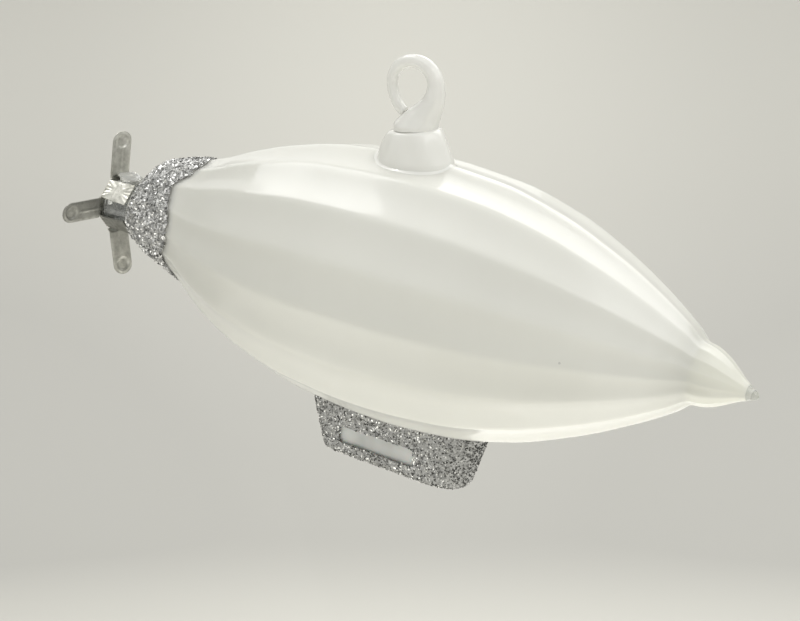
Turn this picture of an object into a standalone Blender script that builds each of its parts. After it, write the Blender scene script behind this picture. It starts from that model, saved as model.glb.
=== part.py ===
"""Hanging glass airship ornament: a ribbed, mould-blown hull with a glass hook loop on top,
a glittered cabin underneath, a glittered tail and a stamped tin cap whose four arms make a propeller.

Hull coordinates: x runs along the hull from the tail (0) to the nose, y is sideways, z is up.
The whole ornament hangs from the top of its loop, which is the world origin, with its nose a little low.
"""

from math import atan2, ceil, cos, pi, radians, sin, sqrt

import bmesh
import bpy
from mathutils import Matrix, Vector

MM = 0.001
GAP = 0.3

# How it hangs: hull coordinates of the point under the hook, in millimetres like everything below
NOSE_DOWN = radians(6.5)
HANG_X = 66.2
HANG_Z = 52.6

# Hull: radius at the ribs for each station along the hull
HULL_OUTLINE = [
    (-7.5, 5.65), (-6.0, 6.9), (-3.0, 9.1), (0.0, 11.3), (4.0, 12.8), (8.0, 14.2), (13.0, 16.2), (18.0, 18.8),
    (25.0, 22.4), (36.0, 26.7), (52.0, 30.5), (74.0, 32.1), (92.0, 31.0), (108.0, 27.6), (122.0, 22.3),
    (134.0, 16.3), (143.0, 10.7),
]
NOSE_OUTLINE = [(147.8, 7.3), (149.2, 7.15), (152.0, 6.25), (155.0, 4.5), (157.2, 3.0), (159.2, 1.9)]
PINCH_REAR = 145.6
HULL_START = HULL_OUTLINE[0][0]
HULL_AXIS = [(-7.5, 0.1), (-6.0, 0.3), (-3.0, 1.4), (0.0, 2.1), (10.0, 1.8), (20.0, 0.5), (36.0, 0.0)]
RIBS = 16
FLUTE_DEPTH = 0.024
RIB_SOFTNESS = 0.12
FLUTE_FADE_NOSE = (151.0, 160.0)
FLUTE_FADE_TAIL = (-9.0, 4.0)
GLASS = 1.0
CAVITY_END = 146.6
NOSE_DROOP = 1.35
NOSE_DROOP_FROM = 145.0
NOSE_DROOP_SPAN = 14.0

# Neck and nose tip
NECK_RADIUS = 5.65
NECK_REAR = -14.65
NECK_BEVEL = 0.2
TIP_LENGTH = 2.3
TIP_OUTLINE = [(0.0, 1.75), (0.3, 1.5), (0.6, 1.25), (0.85, 0.85), (1.0, 0.3)]

# Tail glitter: its edges as degrees from the top rib towards the far side and stations along the hull
COAT = 0.85
COAT_EDGE = 0.4
COAT_REAR = -6.0
COAT_REAR_SLANT = 1.1
COAT_FRONT = [
    (-180.0, 12.8), (-142.0, 12.4), (-126.0, 8.6), (-92.0, 11.4), (-72.0, 11.0), (-48.0, 9.0), (-20.0, 13.0),
    (-4.0, 12.9), (14.0, 10.4), (45.0, 9.6), (80.0, 11.2), (115.0, 9.8), (150.0, 11.6), (180.0, 12.8),
]

# Cap and propeller arms
TIN = 0.35
CAP_REAR = -15.3
CAP_HEIGHT = 0.1
CAP_HOLE = 1.2
CAP_DISH = 0.5
CAP_STEP_RADIUS = 3.6
CAP_STEP = 0.35
CAP_BEND = 0.75
CLAW_FLAT = 6.3
CLAW_HALF_REAR = 2.6
CLAW_HALF_FRONT = 2.95
CLAW_END = 7.6
ARM_LENGTH = 11.5
ARM_WIDTH = 5.2
ARM_ROOT_RADIUS = 7.1
ARM_ROOT_X = {"top": 1.2, "far": 0.9, "bottom": 1.9, "near": 0.9}
ARM_LEAN = {"top": 1.0, "far": 5.0, "bottom": 13.0, "near": -14.5}
ARM_TWIST = {"top": -22.0, "far": 0.0, "bottom": 22.0, "near": -3.0}

# Cabin: keel and belly ends of the stern and the bow
CABIN_HALF_WIDTH = 6.0
CABIN_COAT = 0.5
CABIN_STERN = (56.7, 49.9)
CABIN_BOW = (92.0, 97.6)
CABIN_KEEL = -43.4
CABIN_KEEL_SLOPE = -0.035
CABIN_KEEL_PIVOT = 62.0
CABIN_TOP = -25.0
STERN_CORNER = 2.0
BOW_LENGTH = 7.5
KEEL_EDGE = [(0.0, 1.3), (0.03, 0.45), (0.075, 0.0), (0.5, 0.0), (1.0, 0.0)]
WINDOW_CORNERS = [(60.2, -40.9), (81.1, -41.5), (80.8, -36.9), (60.0, -36.7)]
WINDOW_ROUNDING = 1.2
WINDOW_REACH = 12.0

# Hanger: dome, then the rod drawn from it into a loop
DOME_HEIGHT = 7.6
DOME_BASE = 8.6
DOME_TOP = 5.25
DOME_BULGE = 0.65
DOME_ROOT = 3.5
HANGER_X = 0.9
JOINT_Z = -14.3
FOOT_RINGS = [
    (0.9, -14.3, 5.25, 0.0), (1.0, -13.4, 5.3, 2.0), (1.9, -12.2, 4.7, 10.0), (3.2, -10.7, 3.9, 18.0),
    (4.6, -9.0, 3.15, 20.0), (5.7, -7.2, 2.6, 14.0), (6.25, -5.4, 2.25, 5.0),
]
LOOP_CENTRE = (0.5, -3.9)
LOOP_REACH = 5.8
LOOP_RISE = 5.4
LOOP_FALL = 7.4
LOOP_END = radians(243.0)
ROD_START = 2.05
ROD_TOP = 1.6
ROD_END = 1.25


def clear_scene():
    for obj in list(bpy.data.objects):
        bpy.data.objects.remove(obj)


def material(name, colour, roughness, metallic=0.0, transmission=0.0):
    made = bpy.data.materials.new(name)
    made.use_nodes = True
    shader = made.node_tree.nodes["Principled BSDF"]
    shader.inputs["Base Color"].default_value = (*colour, 1.0)
    shader.inputs["Roughness"].default_value = roughness
    shader.inputs["Metallic"].default_value = metallic
    shader.inputs["Transmission Weight"].default_value = transmission
    made.diffuse_color = (*colour, 1.0)
    return made


def smoothstep(low, high, value):
    t = min(max((value - low) / (high - low), 0.0), 1.0)
    return t * t * (3.0 - 2.0 * t)


def along_outline(points, x):
    """Value at x on a smooth curve through the stations, with no overshoot between them."""
    if x <= points[0][0]:
        return points[0][1]
    if x >= points[-1][0]:
        return points[-1][1]
    i = max(k for k in range(len(points) - 1) if points[k][0] <= x)

    def steepness(k):
        (xa, ra), (xb, rb) = points[k], points[k + 1]
        return (rb - ra) / (xb - xa)

    def slope(k):
        if k == 0:
            return steepness(0)
        if k == len(points) - 1:
            return steepness(k - 1)
        before, after = steepness(k - 1), steepness(k)
        if before * after <= 0.0:
            return 0.0
        return 2.0 * before * after / (before + after)

    (xa, ra), (xb, rb) = points[i], points[i + 1]
    span = xb - xa
    t = (x - xa) / span
    return (
        (1.0 + 2.0 * t) * (1.0 - t) ** 2 * ra
        + t * (1.0 - t) ** 2 * span * slope(i)
        + t * t * (3.0 - 2.0 * t) * rb
        + t * t * (t - 1.0) * span * slope(i + 1)
    )


def hull_radius(x):
    return along_outline(HULL_OUTLINE + NOSE_OUTLINE, x)


def flute(x, angle):
    """Share of the radius left at this angle: one on a rib, a little less in the hollow between two ribs."""
    strength = FLUTE_DEPTH * smoothstep(*FLUTE_FADE_TAIL, x) * (1.0 - smoothstep(*FLUTE_FADE_NOSE, x))
    wave = sqrt(sin(RIBS / 2.0 * angle) ** 2 + RIB_SOFTNESS**2) - RIB_SOFTNESS
    return 1.0 - strength * wave / (sqrt(1.0 + RIB_SOFTNESS**2) - RIB_SOFTNESS)


def axis_height(x):
    """The blown hull isn't quite straight: it humps over the tail and droops at the nose."""
    sag = max((x - NOSE_DROOP_FROM) / NOSE_DROOP_SPAN, 0.0)
    return along_outline(HULL_AXIS, x) - NOSE_DROOP * sag**1.5


def hull_point(x, angle, offset=0.0):
    """A point on the hull. The angle is measured from straight up, towards +y."""
    radius = hull_radius(x) * flute(x, angle) + offset
    return Vector((x, radius * sin(angle), radius * cos(angle) + axis_height(x)))


def circle(count):
    return [2.0 * pi * i / count for i in range(count)]


def add_ring(bm, points):
    return [bm.verts.new(p) for p in points]


def skin(bm, rings, close_start=True, close_end=True):
    """Faces between rings of equal count, with a flat face over each end."""
    for a, b in zip(rings, rings[1:]):
        for i in range(len(a)):
            j = (i + 1) % len(a)
            bm.faces.new((a[i], a[j], b[j], b[i]))
    if close_start:
        bm.faces.new(list(reversed(rings[0])))
    if close_end:
        bm.faces.new(rings[-1])


def finish(bm, name, made_of, parent, hide=False):
    """Turn a mesh drawn in millimetres into an object; a hidden one is a cutter."""
    bmesh.ops.recalc_face_normals(bm, faces=bm.faces)
    bmesh.ops.scale(bm, vec=(MM, MM, MM), verts=bm.verts)
    mesh = bpy.data.meshes.new(name)
    bm.to_mesh(mesh)
    bm.free()
    mesh.shade_smooth()
    mesh.set_sharp_from_angle(angle=radians(40.0))
    obj = bpy.data.objects.new(name, mesh)
    bpy.context.scene.collection.objects.link(obj)
    obj.parent = parent
    if made_of:
        mesh.materials.append(made_of)
    if hide:
        obj.hide_render = True
        obj.display_type = "WIRE"
    return obj


def empty(name, parent=None, location=(0.0, 0.0, 0.0), rotation=(0.0, 0.0, 0.0)):
    obj = bpy.data.objects.new(name, None)
    obj.location = Vector(location) * MM
    obj.rotation_euler = rotation
    obj.parent = parent
    bpy.context.scene.collection.objects.link(obj)
    return obj


def cut(obj, cutter):
    modifier = obj.modifiers.new("cut_" + cutter.name, "BOOLEAN")
    modifier.operation = "DIFFERENCE"
    modifier.solver = "EXACT"
    modifier.object = cutter


def stations(low, high, step):
    count = int(ceil((high - low) / step))
    return [low + (high - low) * i / count for i in range(count + 1)]


# Envelope: one blown shell, open at the neck
def make_envelope(parent, made_of):
    angles = circle(RIBS * 4)
    inner_angles = circle(RIBS * 2)
    bm = bmesh.new()
    tail_x = stations(HULL_START, 0.0, 1.5)
    body_x = stations(0.0, HULL_OUTLINE[-1][0], 7.0)
    nose_x = [PINCH_REAR] + [x for x, _ in NOSE_OUTLINE]
    outer_x = tail_x + body_x[1:] + nose_x
    outer = [add_ring(bm, [hull_point(x, a) for a in angles]) for x in outer_x]
    inner_x = stations(HULL_START, 0.0, 2.5) + stations(0.0, CAVITY_END, 12.0)[1:]
    inner = [add_ring(bm, [hull_point(x, a, -GLASS) for a in inner_angles]) for x in inner_x]
    skin(bm, outer, close_start=False)
    skin(bm, inner, close_start=False)
    ratio = len(angles) // len(inner_angles)
    for i in range(len(inner_angles)):
        j = (i + 1) % len(inner_angles)
        arc = [outer[0][(ratio * i + k) % len(angles)] for k in range(ratio + 1)]
        bm.faces.new(arc + [inner[0][j], inner[0][i]])
    return finish(bm, "envelope", made_of, parent)


def make_neck(parent, made_of):
    bm = bmesh.new()
    bore = NECK_RADIUS - GLASS
    front = HULL_START - GAP

    def ring(x, radius):
        return add_ring(bm, [(x, radius * sin(a), radius * cos(a) + CAP_HEIGHT) for a in circle(40)])

    rings = [
        ring(NECK_REAR, bore), ring(NECK_REAR, NECK_RADIUS - NECK_BEVEL),
        ring(NECK_REAR + NECK_BEVEL, NECK_RADIUS), ring(front, NECK_RADIUS), ring(front, bore),
    ]
    skin(bm, rings + [rings[0]], close_start=False, close_end=False)
    return finish(bm, "tail_neck", made_of, parent)


def make_nose_tip(parent, made_of):
    bm = bmesh.new()
    start = NOSE_OUTLINE[-1][0] + GAP
    rings = []
    for share, radius in TIP_OUTLINE:
        x = start + share * TIP_LENGTH
        rise = axis_height(x)
        rings.append(add_ring(bm, [(x, radius * sin(a), radius * cos(a) + rise) for a in circle(20)]))
    skin(bm, rings)
    return finish(bm, "nose_tip", made_of, parent)


# Tail glitter: a thick coat over the tail cone with a wavy front edge
def coat_front(angle):
    signed = (angle + pi) % (2.0 * pi) - pi
    return along_outline([(radians(a), x) for a, x in COAT_FRONT], signed)


def coat_rear(angle):
    return COAT_REAR + COAT_REAR_SLANT * cos(angle)


def make_tail_coat(parent, made_of):
    bm = bmesh.new()
    shares = [0.0, 0.12, 0.3, 0.5, 0.7, 0.88, 1.0]

    def layer(order, outer):
        rings = []
        for share in order:
            thickness = COAT_EDGE + (COAT - COAT_EDGE) * sin(pi * share) ** 0.5
            offset = GAP + thickness if outer else GAP
            points = []
            for a in circle(RIBS * 4):
                x = coat_rear(a) + share * (coat_front(a) - coat_rear(a))
                points.append(hull_point(x, a, offset))
            rings.append(add_ring(bm, points))
        return rings

    rings = layer(shares, False) + layer(list(reversed(shares)), True)
    skin(bm, rings + [rings[0]], close_start=False, close_end=False)
    return finish(bm, "tail_glitter", made_of, parent)


# Cap: a dished tin plate over the neck's end, its four flat claws folded forward along the glass
def make_cap(parent, made_of):
    bm = bmesh.new()
    across = [-1.0, -0.5, 0.0, 0.5, 1.0]
    rim = []
    for k in range(4):
        facing = radians(45.0 + 90.0 * k)
        rim += [(facing, share) for share in across]
        rim += [(facing + radians(gap), None) for gap in (33.0, 45.0, 57.0)]

    def rim_point(x, facing, share, half, inset):
        flat = CLAW_FLAT - inset
        if share is None:
            side, flat = 0.0, sqrt(flat**2 + CLAW_HALF_REAR**2)
        else:
            side = share * half
        return (x, flat * sin(facing) + side * cos(facing), flat * cos(facing) - side * sin(facing))

    def rim_ring(x, inset):
        return add_ring(bm, [rim_point(x, f, s, CLAW_HALF_REAR, inset) for f, s in rim])

    def disc_ring(x, radius):
        angles = [f + atan2((s or 0.0) * CLAW_HALF_REAR, CLAW_FLAT) for f, s in rim]
        return add_ring(bm, [(x, radius * sin(a), radius * cos(a)) for a in angles])

    outer = [
        disc_ring(-CAP_DISH, CAP_HOLE), disc_ring(-CAP_STEP, CAP_STEP_RADIUS),
        rim_ring(0.0, CAP_BEND), rim_ring(CAP_STEP, 0.0),
    ]
    inner = [
        disc_ring(TIN - CAP_DISH, CAP_HOLE), disc_ring(TIN - CAP_STEP, CAP_STEP_RADIUS),
        rim_ring(TIN, CAP_BEND), rim_ring(TIN + CAP_STEP, TIN),
    ]
    skin(bm, outer, close_start=False, close_end=False)
    skin(bm, inner, close_start=False, close_end=False)
    skin(bm, [outer[0], inner[0]], close_start=False, close_end=False)
    bend_out, bend_in = outer[-1], inner[-1]
    for k in range(4):
        first = k * len(rim) // 4
        claw = range(first, first + len(across))
        tips_out = [bm.verts.new(rim_point(CLAW_END, *rim[i], CLAW_HALF_FRONT, 0.0)) for i in claw]
        tips_in = [bm.verts.new(rim_point(CLAW_END, *rim[i], CLAW_HALF_FRONT, TIN)) for i in claw]
        for n in range(len(across) - 1):
            i = first + n
            bm.faces.new((bend_out[i], bend_out[i + 1], tips_out[n + 1], tips_out[n]))
            bm.faces.new((bend_in[i + 1], bend_in[i], tips_in[n], tips_in[n + 1]))
            bm.faces.new((tips_out[n], tips_out[n + 1], tips_in[n + 1], tips_in[n]))
        last = first + len(across) - 1
        bm.faces.new((bend_out[first], tips_out[0], tips_in[0], bend_in[first]))
        bm.faces.new((bend_in[last], tips_in[-1], tips_out[-1], bend_out[last]))
        for i in range(last, first + len(rim) // 4):
            j = (i + 1) % len(rim)
            bm.faces.new((bend_out[i], bend_out[j], bend_in[j], bend_in[i]))
    return finish(bm, "cap_plate", made_of, parent)


def make_arm(parent, made_of, side, turn):
    """A round-ended tin arm, modelled standing up, leant along the hull, then turned about the axis."""
    bm = bmesh.new()
    half = ARM_WIDTH / 2.0
    outline = [(-half, 0.0)]
    outline += [(-half * cos(pi * i / 12), ARM_LENGTH - half + half * sin(pi * i / 12)) for i in range(13)]
    outline += [(half, 0.0)]
    back = [bm.verts.new((-TIN / 2.0, y, z)) for y, z in outline]
    front = [bm.verts.new((TIN / 2.0, y, z)) for y, z in outline]
    skin(bm, [back, front])
    place = Matrix.Rotation(-turn, 4, "X") @ Matrix.Translation((ARM_ROOT_X[side], 0.0, ARM_ROOT_RADIUS))
    lean = Matrix.Rotation(radians(ARM_LEAN[side]), 4, "Y")
    twist = Matrix.Rotation(radians(ARM_TWIST[side]), 4, "Z")
    bmesh.ops.transform(bm, matrix=place @ lean @ twist, verts=bm.verts)
    return finish(bm, "propeller_arm_" + side, made_of, parent)


# Cabin: a blown box under the belly with a glitter coat that leaves its side windows bare
def cabin_ring(bm, level, grow, inset):
    """One level of the cabin, 0 at the keel and 1 at the belly: square-cornered stern, rounded bow."""
    stern = CABIN_STERN[0] + (CABIN_STERN[1] - CABIN_STERN[0]) * level - grow + inset
    bow = CABIN_BOW[0] + (CABIN_BOW[1] - CABIN_BOW[0]) * level + grow - inset
    width = CABIN_HALF_WIDTH + grow - inset
    points = []
    for i in range(5):
        t = pi / 2.0 * i / 4
        points.append((stern + STERN_CORNER * (1.0 - sin(t)), width - STERN_CORNER * (1.0 - cos(t))))
    points += [(x, -y) for x, y in reversed(points)]
    for i in range(13):
        t = -pi / 2.0 + pi * i / 12
        points.append((bow - BOW_LENGTH * (1.0 - cos(t)), width * sin(t)))
    ring = []
    for x, y in points:
        keel = CABIN_KEEL - grow + CABIN_KEEL_SLOPE * (x - CABIN_KEEL_PIVOT)
        ring.append((x, y, keel + (CABIN_TOP - keel) * level))
    return add_ring(bm, ring)


def cabin_solid(name, grow, made_of, parent, hide=False):
    bm = bmesh.new()
    skin(bm, [cabin_ring(bm, level, grow, inset) for level, inset in KEEL_EDGE])
    return finish(bm, name, made_of, parent, hide)


def hull_cutter(name, offset, parent):
    bm = bmesh.new()
    xs = stations(40.0, 110.0, 5.0)
    skin(bm, [add_ring(bm, [hull_point(x, a, offset) for a in circle(RIBS * 4)]) for x in xs])
    return finish(bm, name, None, parent, hide=True)


def rounded(corners, radius, steps=4):
    """The outline through some corners with each one rounded off by a smooth bend."""
    points = []
    for k, corner in enumerate(corners):
        middle = Vector(corner)
        before = (Vector(corners[k - 1]) - middle).normalized() * radius
        after = (Vector(corners[(k + 1) % len(corners)]) - middle).normalized() * radius
        for i in range(steps + 1):
            t = i / steps
            points.append(middle + before * (1.0 - t) ** 2 + after * t**2)
    return points


def window_cutter(parent):
    bm = bmesh.new()
    outline = rounded(WINDOW_CORNERS, WINDOW_ROUNDING)
    skin(bm, [add_ring(bm, [(p.x, y, p.y) for p in outline]) for y in (-WINDOW_REACH, WINDOW_REACH)])
    return finish(bm, "window_cutter", None, parent, hide=True)


def make_cabin(parent, glass, glitter):
    belly = hull_cutter("belly_cutter", GAP, parent)
    body = cabin_solid("cabin_body", 0.0, glass, parent)
    cut(body, belly)
    coat = cabin_solid("cabin_glitter", GAP + CABIN_COAT, glitter, parent)
    cut(coat, cabin_solid("cabin_core_cutter", GAP, None, parent, hide=True))
    cut(coat, belly)
    cut(coat, window_cutter(parent))


# Hanger: a blown dome fused to the top rib, and the rod drawn from it into a hook loop
def make_dome(parent, hull, made_of):
    bm = bmesh.new()
    base_z = JOINT_Z - DOME_HEIGHT
    top_z = JOINT_Z - GAP
    outline = [(DOME_BASE, base_z - DOME_ROOT)]
    for i in range(9):
        down = 1.0 - i / 8
        radius = DOME_TOP + (DOME_BASE - DOME_TOP) * down**DOME_BULGE
        outline.append((radius, top_z + (base_z - top_z) * down))
    rings = [add_ring(bm, [(HANGER_X + r * cos(a), r * sin(a), z) for a in circle(40)]) for r, z in outline]
    skin(bm, rings)
    cut(finish(bm, "hanger_dome", made_of, parent), hull_cutter("crown_cutter", GAP, hull))


def make_loop(parent, made_of):
    bm = bmesh.new()

    def ring(x, z, radius, tilt):
        centre = Vector((x, 0.0, z))
        side = Vector((cos(tilt), 0.0, -sin(tilt)))
        width = Vector((0.0, 1.0, 0.0))
        points = [centre + side * (radius * cos(a)) + width * (radius * sin(a)) for a in circle(16)]
        return add_ring(bm, points)

    rings = [ring(x, z, r, radians(tilt)) for x, z, r, tilt in FOOT_RINGS]
    for t in stations(0.0, LOOP_END, radians(11.0)):
        height = LOOP_RISE if sin(t) >= 0.0 else LOOP_FALL
        x = LOOP_CENTRE[0] + LOOP_REACH * cos(t)
        z = LOOP_CENTRE[1] + height * sin(t)
        heading = atan2(-LOOP_REACH * sin(t), height * cos(t))
        rising = min(t / (pi / 2.0), 1.0)
        falling = min(max(t / (pi / 2.0) - 1.0, 0.0), 1.0)
        radius = ROD_START + (ROD_TOP - ROD_START) * rising + (ROD_END - ROD_TOP) * falling
        rings.append(ring(x, z, radius, heading))
    skin(bm, rings)
    return finish(bm, "hanger_loop", made_of, parent)


def main():
    clear_scene()
    frosted = material("frosted_pearl_glass", (0.86, 0.86, 0.83), 0.5, transmission=0.1)
    clear_glass = material("clear_glass", (0.93, 0.95, 0.94), 0.08, transmission=0.9)
    glitter = material("silver_glitter", (0.55, 0.56, 0.57), 0.35, metallic=0.9)
    tin = material("stamped_tin", (0.62, 0.61, 0.57), 0.35, metallic=1.0)
    window = material("bare_frosted_glass", (0.72, 0.73, 0.70), 0.6)
    hanger_glass = material("satin_glass", (0.88, 0.89, 0.86), 0.25, transmission=0.5)

    hull = empty("hull_frame", rotation=(0.0, NOSE_DOWN, 0.0))
    turn = Matrix.Rotation(NOSE_DOWN, 4, "Y")
    hull.location = -(turn @ (Vector((HANG_X, 0.0, HANG_Z)) * MM))
    make_envelope(hull, frosted)
    make_neck(hull, clear_glass)
    make_nose_tip(hull, clear_glass)
    make_tail_coat(hull, glitter)
    make_cabin(hull, window, glitter)

    propeller = empty("propeller_axis", hull, (CAP_REAR, 0.0, CAP_HEIGHT))
    make_cap(propeller, tin)
    for k, side in enumerate(("top", "far", "bottom", "near")):
        make_arm(propeller, tin, side, k * pi / 2.0)

    hanger = empty("hanger_frame")
    make_dome(hanger, hull, hanger_glass)
    make_loop(hanger, hanger_glass)


main()
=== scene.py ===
"""The looks of a hanging glass airship ornament: frosted ribbed hull, silver glitter, tin propeller cap."""

from math import atan2, ceil, cos, pi, radians, sin, sqrt, tau

import bmesh
import bpy
import numpy as np
from mathutils import Matrix, Vector, noise
from mathutils.bvhtree import BVHTree


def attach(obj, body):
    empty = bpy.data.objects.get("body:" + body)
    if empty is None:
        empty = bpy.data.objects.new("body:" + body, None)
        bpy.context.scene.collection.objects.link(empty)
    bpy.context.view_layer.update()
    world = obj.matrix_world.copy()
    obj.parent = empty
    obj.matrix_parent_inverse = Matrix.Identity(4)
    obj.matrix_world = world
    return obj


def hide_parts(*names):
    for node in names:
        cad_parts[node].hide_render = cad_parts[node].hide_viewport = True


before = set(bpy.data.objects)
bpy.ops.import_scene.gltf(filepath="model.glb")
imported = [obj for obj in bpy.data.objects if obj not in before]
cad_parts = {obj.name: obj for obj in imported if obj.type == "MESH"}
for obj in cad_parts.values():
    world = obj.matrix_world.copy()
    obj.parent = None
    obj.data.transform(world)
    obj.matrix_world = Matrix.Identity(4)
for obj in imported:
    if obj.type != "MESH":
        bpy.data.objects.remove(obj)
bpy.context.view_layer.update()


# Hull
# One thin shell of clear glass, blown into a fluted mould, so it has sixteen ribs and a shallow hollow
# between each pair. Outside it wears a frosted pearl lacquer. It tapers to a pinched bud at the nose.
MM = 0.001
NOSE_DOWN = radians(6.5)
HOOK_POINT = Vector((66.2, 0.0, 52.6))
HULL_TO_WORLD = Matrix.Rotation(NOSE_DOWN, 4, "Y") @ Matrix.Scale(MM, 4) @ Matrix.Translation(-HOOK_POINT)

HULL_OUTLINE = [
    (-7.5, 5.65), (-6.0, 6.9), (-3.0, 9.1), (0.0, 11.3), (4.0, 12.8), (8.0, 14.2), (13.0, 16.2), (18.0, 18.8),
    (25.0, 22.4), (36.0, 26.7), (52.0, 30.5), (74.0, 32.1), (92.0, 31.0), (108.0, 27.6), (122.0, 22.3),
    (134.0, 16.3), (143.0, 10.7), (147.8, 7.3), (149.2, 7.15), (152.0, 6.25), (155.0, 4.5), (157.2, 3.0),
    (159.2, 1.9),
]
HULL_START = HULL_OUTLINE[0][0]
HULL_END = HULL_OUTLINE[-1][0]
HULL_AXIS = [(-7.5, 0.1), (-6.0, 0.3), (-3.0, 1.4), (0.0, 2.1), (10.0, 1.8), (20.0, 0.5), (36.0, 0.0)]
RIBS = 16
FLUTE_DEPTH = 0.03
RIB_SOFTNESS = 0.06
FLUTE_FADE_TAIL = (-9.0, 4.0)
FLUTE_FADE_NOSE = (151.0, 160.0)
GLASS = 1.0
CONE_END = 20.0
BUD_START = 138.0
CAVITY_END = 146.6
NOSE_DROOP = 1.35
NOSE_DROOP_FROM = 145.0
NOSE_DROOP_SPAN = 14.0
BLOWN_WOBBLE = 0.07
WOBBLE_ALONG = 0.09
WOBBLE_AROUND = 2.2
OUTER_SIDES_PER_RIB = 12
INNER_SIDES_PER_RIB = 4


def smoothstep(low, high, value):
    t = min(max((value - low) / (high - low), 0.0), 1.0)
    return t * t * (3.0 - 2.0 * t)


def along_outline(points, x):
    """Value at x on a smooth curve through the stations, with no overshoot between them."""
    if x <= points[0][0]:
        return points[0][1]
    if x >= points[-1][0]:
        return points[-1][1]
    i = max(k for k in range(len(points) - 1) if points[k][0] <= x)

    def steepness(k):
        (xa, ra), (xb, rb) = points[k], points[k + 1]
        return (rb - ra) / (xb - xa)

    def slope(k):
        if k == 0:
            return steepness(0)
        if k == len(points) - 1:
            return steepness(k - 1)
        before, after = steepness(k - 1), steepness(k)
        return 2.0 * before * after / (before + after) if before * after > 0.0 else 0.0

    (xa, ra), (xb, rb) = points[i], points[i + 1]
    span = xb - xa
    t = (x - xa) / span
    return (
        (1.0 + 2.0 * t) * (1.0 - t) ** 2 * ra + t * (1.0 - t) ** 2 * span * slope(i)
        + t * t * (3.0 - 2.0 * t) * rb + t * t * (t - 1.0) * span * slope(i + 1)
    )


def flute(x, angle):
    """Share of the radius left at this angle: one on a rib, a little less in the hollow between two ribs."""
    strength = FLUTE_DEPTH * smoothstep(*FLUTE_FADE_TAIL, x) * (1.0 - smoothstep(*FLUTE_FADE_NOSE, x))
    wave = sqrt(sin(RIBS / 2.0 * angle) ** 2 + RIB_SOFTNESS**2) - RIB_SOFTNESS
    return 1.0 - strength * wave / (sqrt(1.0 + RIB_SOFTNESS**2) - RIB_SOFTNESS)


def hull_axis_height(x):
    sag = max((x - NOSE_DROOP_FROM) / NOSE_DROOP_SPAN, 0.0)
    return along_outline(HULL_AXIS, x) - NOSE_DROOP * sag**1.5


def hull_point(x, angle, offset=0.0, wobble=0.0):
    """A point on the hull. The angle is measured from straight up, towards the far side."""
    radius = along_outline(HULL_OUTLINE, x) * flute(x, angle) + offset
    if wobble:
        around = (WOBBLE_AROUND * sin(angle), WOBBLE_AROUND * cos(angle))
        radius += wobble * noise.noise((WOBBLE_ALONG * x, *around))
    return Vector((x, radius * sin(angle), radius * cos(angle) + hull_axis_height(x)))


def turn_angles(count):
    return [tau * i / count for i in range(count)]


def stations(low, high, step):
    count = ceil((high - low) / step)
    return [low + (high - low) * i / count for i in range(count + 1)]


def loft(bm, rings, close_start=True, close_end=True, loop=False):
    """Faces between closed rings of equal count; loop joins the last ring to the first."""
    made = [[bm.verts.new(p) for p in ring] for ring in rings]
    pairs = list(zip(made, made[1:])) + ([(made[-1], made[0])] if loop else [])
    for a, b in pairs:
        for i in range(len(a)):
            j = (i + 1) % len(a)
            bm.faces.new((a[i], a[j], b[j], b[i]))
    if close_start and not loop:
        bm.faces.new(list(reversed(made[0])))
    if close_end and not loop:
        bm.faces.new(made[-1])
    return made


def make_piece(bm, name, made_of, body, stands_for=(), to_world=HULL_TO_WORLD, sharp=40.0):
    """Turn a mesh drawn in millimetres into a piece that rides on its body."""
    bmesh.ops.recalc_face_normals(bm, faces=bm.faces)
    bm.transform(to_world)
    mesh = bpy.data.meshes.new(name)
    bm.to_mesh(mesh)
    bm.free()
    mesh.shade_smooth()
    mesh.set_sharp_from_angle(angle=radians(sharp))
    piece = bpy.data.objects.new(name, mesh)
    bpy.context.scene.collection.objects.link(piece)
    mesh.materials.append(made_of)
    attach(piece, body)
    if stands_for:
        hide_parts(*stands_for)
    return piece


def new_material(name):
    """A material with its node tree, its Principled shader and short ways to add and join nodes."""
    made = bpy.data.materials.new(name)
    made.use_nodes = True
    tree = made.node_tree
    shader = tree.nodes["Principled BSDF"]

    def add(kind, **settings):
        node = tree.nodes.new(kind)
        for key, value in settings.items():
            if key in node.inputs:
                node.inputs[key].default_value = value
            else:
                setattr(node, key, value)
        return node

    return made, tree, shader, add


def set_shader(shader, **values):
    for name, value in values.items():
        shader.inputs[name.replace("_", " ")].default_value = value


def new_group(name, inputs, outputs):
    """An empty shader group with float, colour or vector sockets; returns it with its two end nodes."""
    group = bpy.data.node_groups.new(name, "ShaderNodeTree")
    kinds = {"f": "NodeSocketFloat", "c": "NodeSocketColor", "v": "NodeSocketVector"}
    for label, kind, start in inputs:
        socket = group.interface.new_socket(label, in_out="INPUT", socket_type=kinds[kind])
        if start is not None:
            socket.default_value = start
    for label, kind in outputs:
        group.interface.new_socket(label, in_out="OUTPUT", socket_type=kinds[kind])
    return group, group.nodes.new("NodeGroupInput"), group.nodes.new("NodeGroupOutput")


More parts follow.
